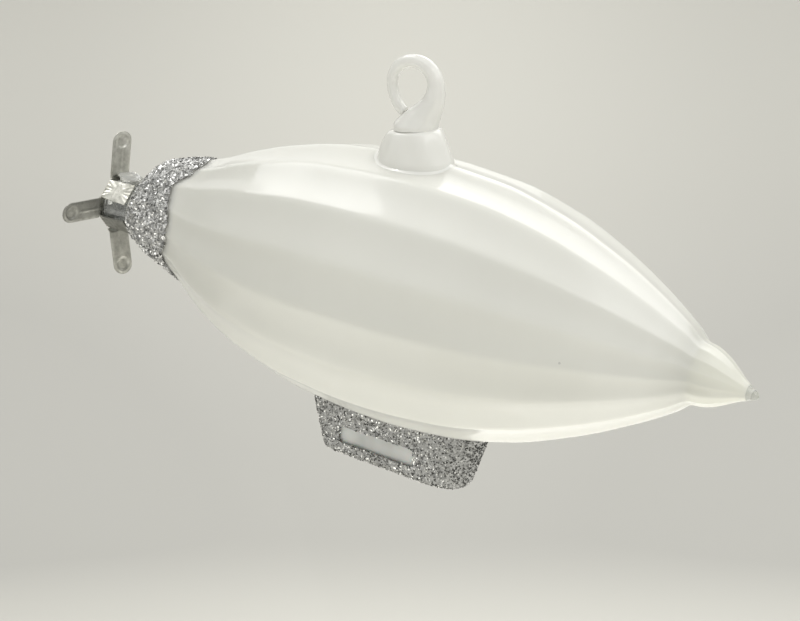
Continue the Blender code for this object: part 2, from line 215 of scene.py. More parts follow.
def make_cloudy_glass_group():
    """Soft clouding of hand-worked glass: a mottled colour, an uneven gloss and a faint ripple."""
    group, given, result = new_group(
        "Cloudy Glass",
        [("Light", "c", (1, 1, 1, 1)), ("Dark", "c", (0.5, 0.5, 0.5, 1)), ("Cloud Scale", "f", 60.0),
         ("Gloss Low", "f", 0.3), ("Gloss High", "f", 0.5), ("Ripple", "f", 0.1)],
        [("Color", "c"), ("Roughness", "f"), ("Normal", "v")],
    )
    nodes, link = group.nodes, group.links.new
    place = nodes.new("ShaderNodeTexCoord")
    cloud = nodes.new("ShaderNodeTexNoise")
    cloud.inputs["Detail"].default_value = 3.0
    link(place.outputs["Object"], cloud.inputs["Vector"])
    link(given.outputs["Cloud Scale"], cloud.inputs["Scale"])
    spread = nodes.new("ShaderNodeMapRange")
    spread.inputs["From Min"].default_value = 0.35
    spread.inputs["From Max"].default_value = 0.65
    link(cloud.outputs["Fac"], spread.inputs["Value"])
    blend = nodes.new("ShaderNodeMix")
    blend.data_type = "RGBA"
    link(spread.outputs["Result"], blend.inputs["Factor"])
    link(given.outputs["Light"], blend.inputs[6])
    link(given.outputs["Dark"], blend.inputs[7])
    link(blend.outputs[2], result.inputs["Color"])
    gloss = nodes.new("ShaderNodeMapRange")
    link(spread.outputs["Result"], gloss.inputs["Value"])
    link(given.outputs["Gloss Low"], gloss.inputs["To Min"])
    link(given.outputs["Gloss High"], gloss.inputs["To Max"])
    link(gloss.outputs["Result"], result.inputs["Roughness"])
    fine = nodes.new("ShaderNodeTexNoise")
    fine.inputs["Scale"].default_value = 260.0
    fine.inputs["Detail"].default_value = 2.0
    link(place.outputs["Object"], fine.inputs["Vector"])
    ripple = nodes.new("ShaderNodeBump")
    ripple.inputs["Distance"].default_value = 0.0004
    link(given.outputs["Ripple"], ripple.inputs["Strength"])
    link(fine.outputs["Fac"], ripple.inputs["Height"])
    link(ripple.outputs["Normal"], result.inputs["Normal"])
    return group


CLOUDY_GLASS = make_cloudy_glass_group()


def use_group(tree, group, shader, **values):
    """Place a group in a material, set its inputs and join the outputs that share a name with the shader."""
    node = tree.nodes.new("ShaderNodeGroup")
    node.node_tree = group
    for name, value in values.items():
        node.inputs[name.replace("_", " ")].default_value = value
    for output in node.outputs:
        target = "Base Color" if output.name == "Color" else output.name
        if target in shader.inputs:
            tree.links.new(output, shader.inputs[target])
    return node


def pearl_lacquer():
    made, tree, shader, add = new_material("frosted_pearl_lacquer")
    set_shader(
        shader, Subsurface_Weight=0.5, Subsurface_Scale=0.004, Subsurface_Radius=(1.0, 1.0, 0.95),
        IOR=1.5, Coat_Weight=0.75, Coat_Roughness=0.1, Coat_IOR=1.5,
        Sheen_Weight=0.25, Sheen_Roughness=0.4,
    )
    clouds = use_group(
        tree, CLOUDY_GLASS, shader, Light=(0.87, 0.868, 0.78, 1), Dark=(0.83, 0.828, 0.745, 1),
        Cloud_Scale=28.0, Gloss_Low=0.34, Gloss_High=0.46, Ripple=0.03,
    )
    link = tree.links.new
    # Painted shade and painted light: the colour is multiplied by a whiteness factor stored per point round
    # the hull and at both ends.
    painted_shade = add("ShaderNodeAttribute", attribute_name="painted_shade")
    shaded_colour = add("ShaderNodeMix", data_type="RGBA", blend_type="MULTIPLY")
    shaded_colour.inputs["Factor"].default_value = 1.0
    link(clouds.outputs["Color"], shaded_colour.inputs[6])
    link(painted_shade.outputs["Fac"], shaded_colour.inputs[7])
    # A grey band beside the glitter's front edge: partly glue stain, partly painted shadow.
    fringe = add("ShaderNodeAttribute", attribute_name="glue_stain_and_shadow")
    stained_and_shaded = add("ShaderNodeMix", data_type="RGBA")
    stained_and_shaded.inputs[7].default_value = (0.46, 0.46, 0.445, 1)
    link(fringe.outputs["Fac"], stained_and_shaded.inputs["Factor"])
    link(shaded_colour.outputs[2], stained_and_shaded.inputs[6])

    # Seeds: a few pinhead bubbles in the glass, one in about every sixth patch of a coarse cell pattern
    place = add("ShaderNodeTexCoord")
    cells = add("ShaderNodeTexVoronoi", Scale=95.0)
    dot = add("ShaderNodeMath", operation="LESS_THAN")
    dot.inputs[1].default_value = 0.03
    rare = add("ShaderNodeMath", operation="GREATER_THAN")
    rare.inputs[1].default_value = 0.72
    seed = add("ShaderNodeMath", operation="MULTIPLY")
    faint = add("ShaderNodeMath", operation="MULTIPLY")
    faint.inputs[1].default_value = 0.45
    seeded = add("ShaderNodeMix", data_type="RGBA")
    seeded.inputs[7].default_value = (0.4, 0.4, 0.37, 1)
    link(place.outputs["Object"], cells.inputs["Vector"])
    link(cells.outputs["Distance"], dot.inputs[0])
    link(cells.outputs["Color"], rare.inputs[0])
    link(dot.outputs[0], seed.inputs[0])
    link(rare.outputs[0], seed.inputs[1])
    link(seed.outputs[0], faint.inputs[0])
    link(faint.outputs[0], seeded.inputs["Factor"])
    link(stained_and_shaded.outputs[2], seeded.inputs[6])
    link(seeded.outputs[2], shader.inputs["Base Color"])
    return made


# Edges of the tail glitter as degrees from the top rib towards the far side and stations along the hull
COAT_REAR = -6.0
COAT_REAR_SLANT = 1.1
COAT_FRONT = [
    (-180.0, 12.8), (-142.0, 12.4), (-126.0, 8.6), (-92.0, 11.4), (-72.0, 11.0), (-48.0, 9.0), (-20.0, 13.0),
    (-4.0, 12.9), (14.0, 10.4), (45.0, 9.6), (80.0, 11.2), (115.0, 9.8), (150.0, 11.6), (180.0, 12.8),
]
# A grey band on the hull beside the glitter's front edge: partly a glue stain, partly a painted shadow of the
# coat's raised edge.
STAIN_AND_SHADOW_WIDTH = 2.8
FRINGE_SOLID = 0.35
STAIN_AND_SHADOW_DEPTH = 0.45

# Painted shade and painted light on the hull's colour: a whiteness factor by degrees from the top rib, and
# how much of it is lost at both ends
PAINTED_SHADE_ROUND = [
    (0.0, 1.0), (62.0, 1.0), (76.0, 0.96), (92.0, 0.91), (106.0, 0.865), (124.0, 1.03), (146.0, 0.99),
    (180.0, 1.02),
]
NOSE_PAINTED_SHADE = 0.15
TAIL_PAINTED_SHADE = 0.11
TAIL_SHADE_TO = 75.0


def coat_front(angle):
    signed = (angle + pi) % tau - pi
    return along_outline([(radians(a), x) for a, x in COAT_FRONT], signed)


def coat_rear(angle):
    return COAT_REAR + COAT_REAR_SLANT * cos(angle)


def painted_shade_at(x, angle):
    """Painted shade and painted light on the hull's colour: darker low on the sides, on the bud and near the
    tail, lighter on the belly.
    """
    down = abs((angle + pi) % tau - pi)
    ends = NOSE_PAINTED_SHADE * smoothstep(BUD_START, CAVITY_END, x)
    ends += TAIL_PAINTED_SHADE * (1.0 - smoothstep(CONE_END, TAIL_SHADE_TO, x))
    return along_outline([(radians(a), share) for a, share in PAINTED_SHADE_ROUND], down) * (1.0 - ends)


def make_hull():
    bm = bmesh.new()
    fringe = bm.verts.layers.float.new("glue_stain_and_shadow")
    painted_shade = bm.verts.layers.float.new("painted_shade")
    outer_x = stations(HULL_START, CONE_END, 0.8)
    outer_x += stations(CONE_END, BUD_START, 1.3)[1:]
    outer_x += stations(BUD_START, HULL_END, 0.5)[1:]
    angles = turn_angles(RIBS * OUTER_SIDES_PER_RIB)
    rings = [[hull_point(x, a, 0.0, BLOWN_WOBBLE) for a in angles] for x in outer_x]
    outer = loft(bm, rings, close_start=False)
    for x, ring in zip(outer_x, outer):
        for a, vert in zip(angles, ring):
            # A grey band beside the glitter's front edge, partly glue stain and partly painted shadow.
            past = (x - coat_front(a)) / STAIN_AND_SHADOW_WIDTH
            vert[fringe] = (1.0 - smoothstep(FRINGE_SOLID, 1.0, past)) * STAIN_AND_SHADOW_DEPTH
            # Painted shade and painted light by angle round the hull and at both ends.
            vert[painted_shade] = painted_shade_at(x, a)
    inner_x = stations(HULL_START, CONE_END, 2.0) + stations(CONE_END, CAVITY_END, 5.0)[1:]
    inner_angles = turn_angles(RIBS * INNER_SIDES_PER_RIB)
    inner = loft(bm, [[hull_point(x, a, -GLASS) for a in inner_angles] for x in inner_x], close_start=False)
    ratio = OUTER_SIDES_PER_RIB // INNER_SIDES_PER_RIB
    for i in range(len(inner[0])):
        j = (i + 1) % len(inner[0])
        arc = [outer[0][(ratio * i + k) % len(outer[0])] for k in range(ratio + 1)]
        bm.faces.new(arc + [inner[0][j], inner[0][i]])
    return make_piece(bm, "blown_hull", pearl_lacquer(), "hull", ["envelope"])


hull = make_hull()


# Nose tip
# The glassblower draws the nose out and nips it off, which leaves a small clear drop on the bud.
# It is bare glass, so only the last two millimetres are clear.
TIP_LENGTH = 2.65
TIP_OVERLAP = 0.05
TIP_OUTLINE = [
    (0.0, 1.88), (0.12, 1.68), (0.3, 1.42), (0.5, 1.2), (0.7, 0.98), (0.85, 0.72), (0.95, 0.42), (1.0, 0.12),
]


def clear_glass(name, tint, roughness, transmission, cloud):
    """Bare or satin glass of one tint, clouded down to the given share of it."""
    made, tree, shader, _ = new_material(name)
    set_shader(shader, Transmission_Weight=transmission, IOR=1.5, Coat_Weight=0.3, Coat_Roughness=0.05)
    use_group(
        tree, CLOUDY_GLASS, shader, Light=(*tint, 1), Dark=(*(c * cloud for c in tint), 1),
        Cloud_Scale=140.0, Gloss_Low=roughness, Gloss_High=roughness + 0.06, Ripple=0.05,
    )
    return made


bare_glass = clear_glass("bare_clear_glass", (0.93, 0.945, 0.94), 0.06, 0.85, 0.9)


def make_nose_tip():
    bm = bmesh.new()
    rings = []
    for share in stations(0.0, 1.0, 1.0 / 16.0):
        x = HULL_END - TIP_OVERLAP + share * TIP_LENGTH
        radius = along_outline(TIP_OUTLINE, share)
        rise = hull_axis_height(x)
        rings.append([(x, radius * sin(a), radius * cos(a) + rise) for a in turn_angles(32)])
    loft(bm, rings)
    return make_piece(bm, "nose_drop", bare_glass, "hull", ["nose_tip"])


make_nose_tip()


# Neck
# The open end of the blown hull: a short clear tube with a fire-rounded rear lip that the cap fits over.
NECK_RADIUS = 5.65
NECK_REAR = -14.65
NECK_WALL = 1.0
NECK_FRONT = HULL_START - 0.02
LIP_STEPS = 8
CAP_HEIGHT = 0.1


def make_neck():
    bm = bmesh.new()
    bore = NECK_RADIUS - NECK_WALL
    lip = NECK_WALL / 2.0
    profile = [(NECK_FRONT, bore)]
    for i in range(LIP_STEPS + 1):
        t = pi * i / LIP_STEPS
        profile.append((NECK_REAR + lip - lip * sin(t), NECK_RADIUS - lip - lip * cos(t)))
    profile.append((NECK_FRONT, NECK_RADIUS))
    rings = [[(x, r * sin(a), r * cos(a) + CAP_HEIGHT) for a in turn_angles(64)] for x, r in profile]
    loft(bm, rings, loop=True)
    return make_piece(bm, "neck_tube", bare_glass, "hull", ["tail_neck"])


make_neck()


# Tail glitter
# Coarse silver glitter in clear glue over the tail cone. Each flake is a separate chip of foil lying at
# its own angle, so the coat is rough and its front edge stands a little proud of the hull.
COAT = 0.85
COAT_EDGE = 0.4
GAP = 0.3
SKIN_BELOW_FLAKES = 0.25
BED_SINK = 0.25
EDGE_RAGGEDNESS = 0.02
CHIP_SIDES = 5
CHIP_REACH = (0.75, 1.05)
CHIP_LIFT = (-0.5, 0.35)
CHIP_LIFT_SHARE = 0.4
FLAKE_NARROWING = 0.62
TAIL_FLAKES = 8000
TAIL_FLAKE = (0.34, 0.64)
TAIL_FLAKE_TILT = 52.0
TAIL_FLAKE_THICKNESS = 0.05
TAIL_FLAKE_SPAN = (-0.015, 1.02)
CONE_WIDEST = 18.0


def make_glitter_group():
    """Foil flakes: each flake's stored tone gives its colour and gloss, from dull grey to mirror bright."""
    group, given, result = new_group(
        "Glitter Foil",
        [("Bright", "c", (1, 1, 1, 1)), ("Dark", "c", (0.2, 0.2, 0.2, 1)), ("Bright Share", "f", 0.5)],
        [("Color", "c"), ("Roughness", "f")],
    )
    nodes, link = group.nodes, group.links.new
    tone = nodes.new("ShaderNodeAttribute")
    tone.attribute_name = "tone"
    turned = nodes.new("ShaderNodeMath")
    turned.operation = "SUBTRACT"
    turned.inputs[0].default_value = 1.0
    link(given.outputs["Bright Share"], turned.inputs[1])
    spread = nodes.new("ShaderNodeMapRange")
    spread.interpolation_type = "SMOOTHSTEP"
    link(tone.outputs["Fac"], spread.inputs["Value"])
    link(turned.outputs[0], spread.inputs["From Min"])
    blend = nodes.new("ShaderNodeMix")
    blend.data_type = "RGBA"
    link(spread.outputs["Result"], blend.inputs["Factor"])
    link(given.outputs["Dark"], blend.inputs[6])
    link(given.outputs["Bright"], blend.inputs[7])
    link(blend.outputs[2], result.inputs["Color"])
    gloss = nodes.new("ShaderNodeMapRange")
    gloss.inputs["To Min"].default_value = 0.38
    gloss.inputs["To Max"].default_value = 0.16
    link(tone.outputs["Fac"], gloss.inputs["Value"])
    link(gloss.outputs["Result"], result.inputs["Roughness"])
    return group


GLITTER_FOIL = make_glitter_group()


def foil(name, bright, dark, bright_share):
    made, tree, shader, _ = new_material(name)
    set_shader(shader, Metallic=1.0, Specular_IOR_Level=0.6)
    use_group(tree, GLITTER_FOIL, shader, Bright=(*bright, 1), Dark=(*dark, 1), Bright_Share=bright_share)
    return made


def glue_bed(name, colour):
    """The clear glue between the flakes, grey with the foil that lies under its surface."""
    made, tree, shader, add = new_material(name)
    set_shader(shader, Metallic=0.6, Coat_Weight=0.3, Coat_Roughness=0.2)
    grains = add("ShaderNodeTexVoronoi", Scale=1500.0)
    place = add("ShaderNodeTexCoord")
    ramp = add("ShaderNodeMix", data_type="RGBA")
    ramp.inputs[6].default_value = (*(c * 0.45 for c in colour), 1)
    ramp.inputs[7].default_value = (*colour, 1)
    bump = add("ShaderNodeBump", Strength=0.8, Distance=0.0003)
    tree.links.new(place.outputs["Object"], grains.inputs["Vector"])
    tree.links.new(grains.outputs["Color"], ramp.inputs["Factor"])
    tree.links.new(ramp.outputs[2], shader.inputs["Base Color"])
    tree.links.new(grains.outputs["Distance"], bump.inputs["Height"])
    tree.links.new(bump.outputs["Normal"], shader.inputs["Normal"])
    shader.inputs["Roughness"].default_value = 0.42
    return made


def coat_thickness(share):
    return COAT_EDGE + (COAT - COAT_EDGE) * sin(pi * min(max(share, 0.0), 1.0)) ** 0.5


def coat_point(share, angle, offset):
    x = coat_rear(angle) + share * (coat_front(angle) - coat_rear(angle))
    return hull_point(x, angle, offset)


def make_tail_bed():
    bm = bmesh.new()
    shares = [0.0, 0.04, 0.1] + [0.1 + 0.8 * i / 16 for i in range(1, 17)] + [0.96, 1.0]

    def layer(order, outer):
        rings = []
        for share in order:
            ring = []
            for a in turn_angles(RIBS * 10):
                lift = coat_thickness(share) - SKIN_BELOW_FLAKES if outer else -BED_SINK
                ragged = 0.0
                if share in (0.0, 1.0):
                    ragged = EDGE_RAGGEDNESS * noise.noise((9.0 * sin(a), 9.0 * cos(a), 3.0))
                ring.append(coat_point(share + ragged, a, GAP + lift))
            rings.append(ring)
        return rings

    loft(bm, layer(shares, False) + layer(shares[::-1], True), loop=True)
    bed = glue_bed("tail_glitter_glue", (0.72, 0.72, 0.71))
    return make_piece(bm, "tail_glitter_bed", bed, "hull", ["tail_glitter"])


def scatter_flakes(name, places, sizes, tilt, thickness, made_of, seed, to_world=HULL_TO_WORLD):
    """One thin five-sided chip of foil at each place, tilted at random. A place is a point, an outward
    normal and the brightest tone that a flake may have there."""
    rng = np.random.default_rng(seed)
    verts, faces, tones = [], [], []
    for point, normal, brightest in places:
        size = rng.uniform(*sizes)
        lean = radians(tilt) * rng.uniform(0.0, 1.0) ** 0.7
        spin, heading = rng.uniform(0.0, tau, 2)
        up = normal.to_track_quat("Z", "Y").to_matrix() @ Matrix.Rotation(heading, 3, "Z")
        up = up @ Matrix.Rotation(lean, 3, "X") @ Matrix.Rotation(spin, 3, "Z")
        lift = normal * rng.uniform(*CHIP_LIFT) * size * CHIP_LIFT_SHARE
        tone = rng.uniform() * brightest
        start = len(verts)
        sides = CHIP_SIDES
        for level in (-thickness / 2.0, thickness / 2.0):
            for k in range(sides):
                reach = size * rng.uniform(*CHIP_REACH)
                turn = tau * k / sides
                chip = Vector((reach * cos(turn), FLAKE_NARROWING * reach * sin(turn), level))
                verts.append(to_world @ (point + lift + up @ chip))
                tones.append(tone)
        faces.append([start + k for k in range(sides)][::-1])
        faces.append([start + sides + k for k in range(sides)])
        faces += [
            (start + k, start + (k + 1) % sides, start + sides + (k + 1) % sides, start + sides + k)
            for k in range(sides)
        ]
    mesh = bpy.data.meshes.new(name)
    mesh.from_pydata(verts, [], faces)
    mesh.attributes.new("tone", "FLOAT", "POINT").data.foreach_set("value", tones)
    mesh.materials.append(made_of)
    piece = bpy.data.objects.new(name, mesh)
    bpy.context.scene.collection.objects.link(piece)
    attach(piece, "hull")
    return piece


def tail_flake_places(count, seed):
    """Random places over the cone, thinned out towards the neck so that they lie equally close everywhere."""
    rng = np.random.default_rng(seed)
    places = []
    while len(places) < count:
        share, angle = rng.uniform(*TAIL_FLAKE_SPAN), rng.uniform(0.0, tau)
        offset = GAP + coat_thickness(share) - SKIN_BELOW_FLAKES
        here = coat_point(share, angle, offset)
        if rng.uniform() * CONE_WIDEST > Vector((here.y, here.z)).length:
            continue
        ahead = coat_point(share + 0.02, angle, offset) - here
        around = coat_point(share, angle + 0.02, offset) - here
        places.append((here, around.cross(ahead).normalized(), 1.0))
    return places


make_tail_bed()
coarse_foil = foil("coarse_silver_foil", (1.0, 1.0, 0.99), (0.34, 0.34, 0.335), 0.94)
scatter_flakes(
    "tail_glitter_flakes", tail_flake_places(TAIL_FLAKES, seed=11), TAIL_FLAKE, TAIL_FLAKE_TILT,
    TAIL_FLAKE_THICKNESS, coarse_foil, seed=12,
)


# Propeller cap
# Pressed from one sheet of thin tin: a dished plate with a centre hole, four claws folded forward to grip
# the neck and four round-ended arms left standing as the propeller. The claws are embossed with rays.
TIN = 0.3
CAP_REAR = -15.3
CAP_HOLE = 1.2
CAP_DISH = 0.5
CLAW_FLAT = 6.3
CLAW_HALF_REAR = 2.6
CLAW_HALF_FRONT = 2.95
CLAW_END = 7.6
CLAW_ROOT = 0.1
CLAW_GRIP = 0.05
FOLD_X = 0.35
EMBOSS = 0.15
RAY_WIDTH = 0.1
CROSS_WIDTH = 0.075
# How dark and dull each claw is: partly tarnish, partly painted shade; the two upward claws are nearly clean
# and the two downward ones darkest.
CLAW_TARNISH_AND_SHADE = (0.04, 0.5, 0.8, 0.0)
# Half section of the plate: the station, the share of the way from hole to rim, and the inset from the rim
PLATE_SECTION = [
    (-CAP_DISH, 0.0, 0.0), (-CAP_DISH, 0.2, 0.1), (-0.4, 0.45, 0.1), (-0.12, 0.5, 0.15), (-0.02, 0.85, 0.35),
    (0.03, 1.0, 0.62), (0.13, 1.0, 0.25), (FOLD_X, 1.0, 0.0),
]
CAP_TO_WORLD = HULL_TO_WORLD @ Matrix.Translation((CAP_REAR, 0.0, CAP_HEIGHT))


def dull_tin():
    made, tree, shader, add = new_material("dull_stamped_tin")
    set_shader(shader, Metallic=1.0, Anisotropic=0.3)
    place = add("ShaderNodeTexCoord")
    patina = add("ShaderNodeTexNoise", Scale=420.0, Detail=5.0, Roughness=0.65)
    spread = add("ShaderNodeMapRange")
    spread.inputs["From Min"].default_value = 0.38
    spread.inputs["From Max"].default_value = 0.64
    colour = add("ShaderNodeMix", data_type="RGBA")
    colour.inputs[6].default_value = (0.9, 0.89, 0.82, 1)
    colour.inputs[7].default_value = (0.56, 0.555, 0.5, 1)
    # The per-point factor darkens and dulls the tin: partly tarnish, partly painted shade set claw by claw
    # and arm by arm.
    tarnish_and_shade = add("ShaderNodeAttribute", attribute_name="tarnish_and_shade")
    dulled = add("ShaderNodeMix", data_type="RGBA")
    dulled.inputs[7].default_value = (0.13, 0.13, 0.12, 1)
    gloss = add("ShaderNodeMapRange")
    gloss.inputs["To Min"].default_value = 0.22
    gloss.inputs["To Max"].default_value = 0.46
    matt = add("ShaderNodeMath", operation="MULTIPLY_ADD")
    matt.inputs[1].default_value = 0.25
    bump = add("ShaderNodeBump", Strength=0.35, Distance=0.0002)
    link = tree.links.new
    link(place.outputs["Object"], patina.inputs["Vector"])
    link(patina.outputs["Fac"], spread.inputs["Value"])
    link(spread.outputs["Result"], colour.inputs["Factor"])
    link(tarnish_and_shade.outputs["Fac"], dulled.inputs["Factor"])
    link(colour.outputs[2], dulled.inputs[6])
    link(dulled.outputs[2], shader.inputs["Base Color"])
    link(spread.outputs["Result"], gloss.inputs["Value"])
    link(tarnish_and_shade.outputs["Fac"], matt.inputs[0])
    link(gloss.outputs["Result"], matt.inputs[2])
    link(matt.outputs[0], shader.inputs["Roughness"])
    link(patina.outputs["Fac"], bump.inputs["Height"])
    link(bump.outputs["Normal"], shader.inputs["Normal"])
    return made


tin = dull_tin()


def stroke(along, across, start, end, width):
    """Height of a pressed stroke between two points of the sheet, falling off across its width."""
    (xa, ya), (xb, yb) = start, end
    dx, dy = xb - xa, yb - ya
    t = min(max(((along - xa) * dx + (across - ya) * dy) / (dx * dx + dy * dy), 0.0), 1.0)
    gap = sqrt((along - xa - t * dx) ** 2 + (across - ya - t * dy) ** 2)
    return max(1.0 - (gap / width) ** 2, 0.0) ** 1.5


def claw_emboss(along, across):
    """Rays from the middle to both ends of a claw, with a double cross stroke between them."""
    height = 0.0
    for side in (-1.0, 1.0):
        for fan in (-1.0, -0.5, 0.0, 0.5, 1.0):
            start = (0.5 + side * 0.2, fan * 0.3)
            end = (0.5 + side * 0.47, fan * 0.86)
            height = max(height, stroke(along, across, start, end, RAY_WIDTH))
        middle = 0.5 + side * 0.07
        height = max(height, stroke(along, across, (middle, -0.8), (middle, 0.8), CROSS_WIDTH))
    return EMBOSS * height


def sheet_grid(bm, rows, thickness):
    """A sheet from rows of (point, normal), given both its faces and a closed rim."""
    top = [[bm.verts.new(p + n * (thickness / 2.0)) for p, n in row] for row in rows]
    under = [[bm.verts.new(p - n * (thickness / 2.0)) for p, n in row] for row in rows]
    for i in range(len(rows) - 1):
        for j in range(len(rows[0]) - 1):
            bm.faces.new((top[i][j], top[i][j + 1], top[i + 1][j + 1], top[i + 1][j]))
            bm.faces.new((under[i][j], under[i + 1][j], under[i + 1][j + 1], under[i][j + 1]))
    rim = [(i, 0) for i in range(len(rows))] + [(len(rows) - 1, j) for j in range(1, len(rows[0]))]
    rim += [(i, len(rows[0]) - 1) for i in range(len(rows) - 2, -1, -1)]
    rim += [(0, j) for j in range(len(rows[0]) - 2, 0, -1)]
    for (ia, ja), (ib, jb) in zip(rim, rim[1:] + rim[:1]):
        bm.faces.new((top[ia][ja], top[ib][jb], under[ib][jb], under[ia][ja]))


def make_cap():
    bm = bmesh.new()
    tarnish_and_shade = bm.verts.layers.float.new("tarnish_and_shade")
    corner = sqrt(CLAW_FLAT**2 + CLAW_HALF_REAR**2)
    claw_half = atan2(CLAW_HALF_REAR, CLAW_FLAT)

    def rim_radius(angle):
        off = abs(angle % (pi / 2.0) - pi / 4.0)
        return CLAW_FLAT / cos(off) if off < claw_half else corner

    def plate_ring(x, share, inset):
        ring = []
        for a in turn_angles(96):
            radius = CAP_HOLE + share * (rim_radius(a) - inset - CAP_HOLE)
            ring.append((x, radius * sin(a), radius * cos(a)))
        return ring

    rings = [plate_ring(*row) for row in PLATE_SECTION]
    for x, share, inset in PLATE_SECTION[-2::-1]:
        rings.append(plate_ring(x + TIN, share, inset + (TIN if share == 1.0 else 0.0)))
    loft(bm, rings, loop=True)
    steps, across_steps = 30, 24
    for k in range(4):
        turn = Matrix.Rotation(-(pi / 4.0 + k * pi / 2.0), 3, "X")
        rows = []
        for i in range(steps + 1):
            along = i / steps
            x = FOLD_X - CLAW_ROOT + along * (CLAW_END - FOLD_X + CLAW_ROOT)
            half = CLAW_HALF_REAR + (CLAW_HALF_FRONT - CLAW_HALF_REAR) * along
            row = []
            for j in range(across_steps + 1):
                across = 2.0 * j / across_steps - 1.0
                lift = CLAW_FLAT - TIN / 2.0 - CLAW_GRIP * along + claw_emboss(along, across) - EMBOSS
                row.append((turn @ Vector((x, across * half, lift)), turn @ Vector((0.0, 0.0, 1.0))))
            rows.append(row)
        before = len(bm.verts)
        sheet_grid(bm, rows, TIN)
        for vert in list(bm.verts)[before:]:
            vert[tarnish_and_shade] = CLAW_TARNISH_AND_SHADE[k]
    return make_piece(bm, "stamped_cap", tin, "propeller", ["cap_plate"], CAP_TO_WORLD, 50.0)


# Arms
# The four arms are bent by hand, so each leans and twists its own way. Each has a crease along its middle
# and a round dimple pressed near its rounded end. A clear drop of glue has set beside the top arm.
ARM_LENGTH = 11.5
ARM_WIDTH = 5.2
ARM_ROOT_RADIUS = 7.1
ARM_ROOT_X = {"top": 1.2, "far": 0.9, "bottom": 1.9, "near": 0.9}
ARM_LEAN = {"top": 1.0, "far": 5.0, "bottom": 13.0, "near": -14.5}
ARM_TWIST = {"top": -22.0, "far": 0.0, "bottom": 22.0, "near": -3.0}
# How dark and dull each arm is: partly tarnish, partly painted shade.
ARM_TARNISH_AND_SHADE = {"top": 0.24, "far": 0.35, "bottom": 0.4, "near": 0.68}
ROOT_TWIST_LENGTH = 0.2
DIMPLE_RADIUS = 1.75
DIMPLE_FROM_TIP = 2.65
DIMPLE_SLOPE = 0.35
DIMPLE = 0.34
CREASE = 0.14
CREASE_HALF = 0.45
CREASE_FADE = (5.0, 7.5)
LIP = 0.12
ARM_TUCK = 0.45
ARM_SPAN = ARM_LENGTH + 0.42
GLUE_DROP_PLACE = (4.4, 0.2, 6.9)
GLUE_DROP_SIZE = (3.3, 2.2, 1.6)
GLUE_DROP_LUMPS = 0.3


def arm_emboss(across, along):
    """Height of the pressed marks at a place on an arm, in millimetres from its middle line and its root."""
    ring = sqrt(across**2 + (along - ARM_LENGTH + DIMPLE_FROM_TIP) ** 2)
    dimple = DIMPLE * (1.0 - smoothstep(DIMPLE_RADIUS - DIMPLE_SLOPE, DIMPLE_RADIUS, ring))
    crease = CREASE * (1.0 - smoothstep(0.0, CREASE_HALF, abs(across)))
    return dimple - crease * (1.0 - smoothstep(*CREASE_FADE, along))


def make_arm(side, turn):
    bm = bmesh.new()
    tarnish_and_shade = bm.verts.layers.float.new("tarnish_and_shade")
    half = ARM_WIDTH / 2.0
    steps, across_steps = 46, 20
    place = Matrix.Rotation(-turn, 4, "X") @ Matrix.Translation((ARM_ROOT_X[side], 0.0, ARM_ROOT_RADIUS))
    lean = Matrix.Rotation(radians(ARM_LEAN[side]), 4, "Y")
    bend = lean @ Matrix.Rotation(radians(ARM_TWIST[side]), 4, "Z")
    rows = []
    for i in range(steps + 1):
        along = -ARM_TUCK + ARM_SPAN * (i / steps) ** 0.92
        over = (along - ARM_LENGTH + half) / half
        width = half * sqrt(max(1.0 - over * over, 0.004)) if over > 0.0 else half
        row = []
        for j in range(across_steps + 1):
            share = 2.0 * j / across_steps - 1.0
            across = width * share
            reach = max(abs(share), sqrt(share * share + over * over) if over > 0.0 else 0.0)
            lip = LIP * smoothstep(0.8, 0.97, reach)
            bent = place @ bend @ Vector((-arm_emboss(across, along) - lip, across, along))
            flat = place @ Vector((FOLD_X - ARM_ROOT_X[side], across, along))
            point = flat.lerp(bent, smoothstep(-ARM_TUCK, ROOT_TWIST_LENGTH, along))
            normal = (place @ bend).to_3x3() @ Vector((-1.0, 0.0, 0.0))
            row.append((point, normal))
        rows.append(row)
    sheet_grid(bm, rows, TIN)
    for vert in bm.verts:
        vert[tarnish_and_shade] = ARM_TARNISH_AND_SHADE[side]
    name = "propeller_arm_" + side
    return make_piece(bm, "stamped_arm_" + side, tin, "propeller", [name], CAP_TO_WORLD, 50.0)


def make_glue_drop():
    """A set drop of clear glue in the gap between two claws, just in front of the top arm's root."""
    bm = bmesh.new()
    sides, steps = 40, 24
    rings = []
    for step in range(1, steps):
        height, width = cos(pi * step / steps), sin(pi * step / steps)
        rings.append([(width * cos(turn), width * sin(turn), height) for turn in turn_angles(sides)])
    made = loft(bm, rings, close_start=False, close_end=False)
    for ring, end in ((made[0], 1.0), (made[-1], -1.0)):
        pole = bm.verts.new((0.0, 0.0, end))
        for i in range(sides):
            bm.faces.new((ring[i - 1], ring[i], pole))
    for vert in bm.verts:
        lump = 1.0 + GLUE_DROP_LUMPS * noise.noise(vert.co * 1.9 + Vector((4.0, 1.0, 2.0)))
        vert.co = Vector(GLUE_DROP_PLACE) + Vector([v * s * lump for v, s in zip(vert.co, GLUE_DROP_SIZE)])
    glue = clear_glass("set_glue", (0.97, 0.97, 0.94), 0.1, 0.6, 0.97)
    return make_piece(bm, "cap_glue_drop", glue, "propeller", (), CAP_TO_WORLD)


make_glue_drop()
make_cap()
for number, arm_side in enumerate(("top", "far", "bottom", "near")):
    make_arm(arm_side, number * pi / 2.0)


